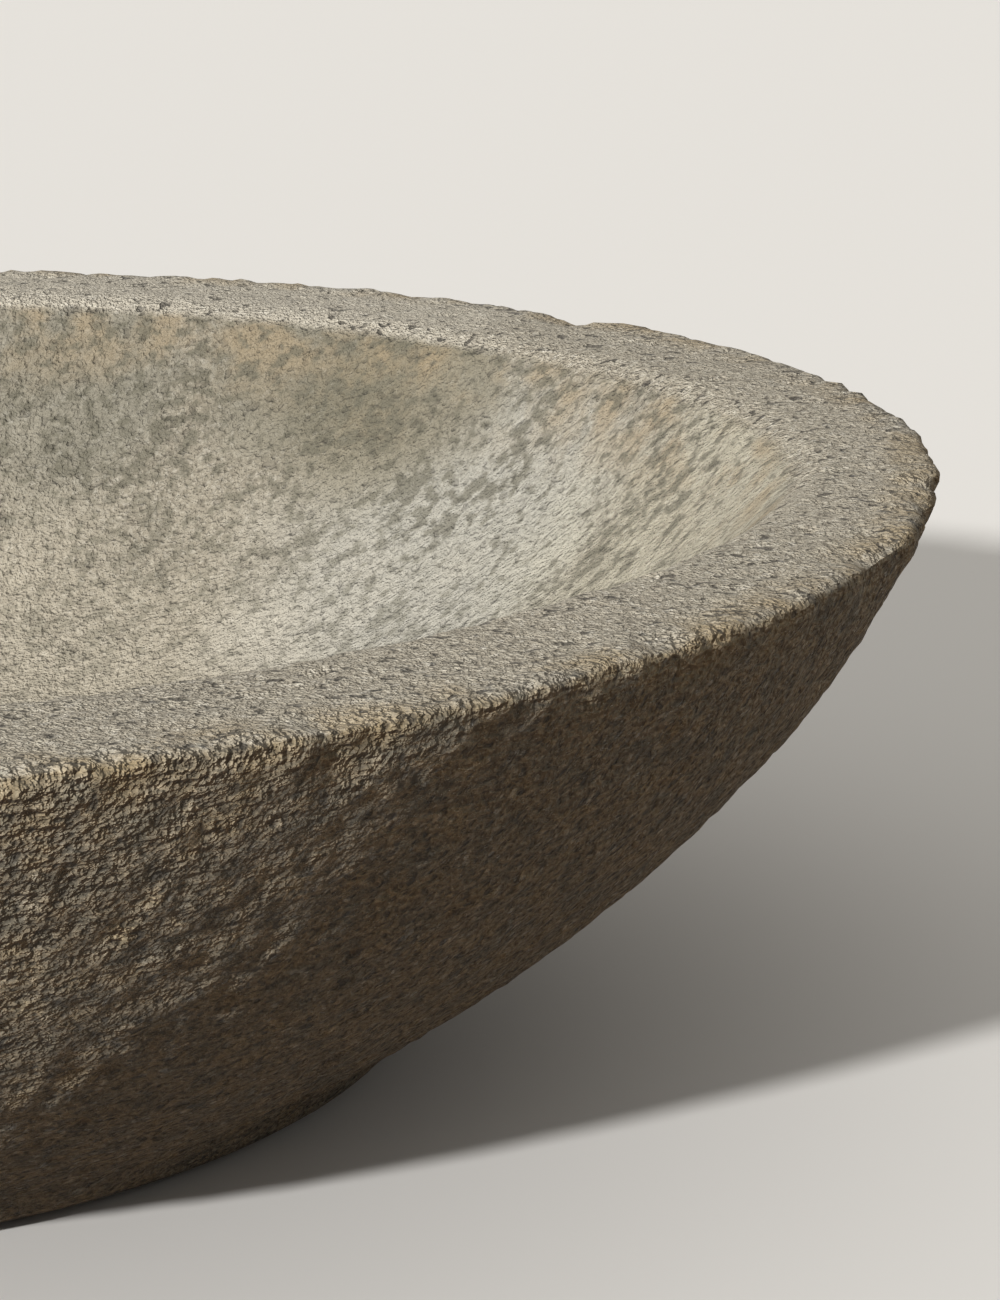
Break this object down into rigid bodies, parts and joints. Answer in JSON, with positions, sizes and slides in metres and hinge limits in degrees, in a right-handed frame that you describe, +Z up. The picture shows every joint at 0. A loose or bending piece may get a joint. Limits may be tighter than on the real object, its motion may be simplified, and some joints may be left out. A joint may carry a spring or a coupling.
{
  "type": "stone planter bowl",
  "caption": "Low round cast stone planter bowl with a thick flat lip, a sloped foot on rubber pads and a floor drain shut by a lift-out plug.",
  "frame": {"origin": "on the bowl's axis, on the surface that the foot pads stand on", "axes": "+Z up along the bowl's axis, out of the planting hollow; +X to the right and +Y away from the viewer of the picture"},
  "size_m": [0.42, 0.42, 0.1],
  "materials": {
    "cast_stone": "rough sandy cast, weathered",
    "sleeve_plastic": "moulded, fine matt",
    "plug_rubber": "moulded, satin",
    "pad_rubber": "die-cut sheet, matt"
  },
  "bodies": {
    "bowl": {"stone_bowl": "cast_stone", "drain_sleeve": "sleeve_plastic", "foot_pad_1": "pad_rubber", "foot_pad_2": "pad_rubber", "foot_pad_3": "pad_rubber", "foot_pad_4": "pad_rubber"},
    "plug": {"drain_plug": "plug_rubber"}
  },
  "joints": [
    {"name": "plug_lift", "type": "slide", "parent": "bowl", "child": "plug", "axis": [0, 0, 1], "range_m": [0, 0.1]}
  ]
}
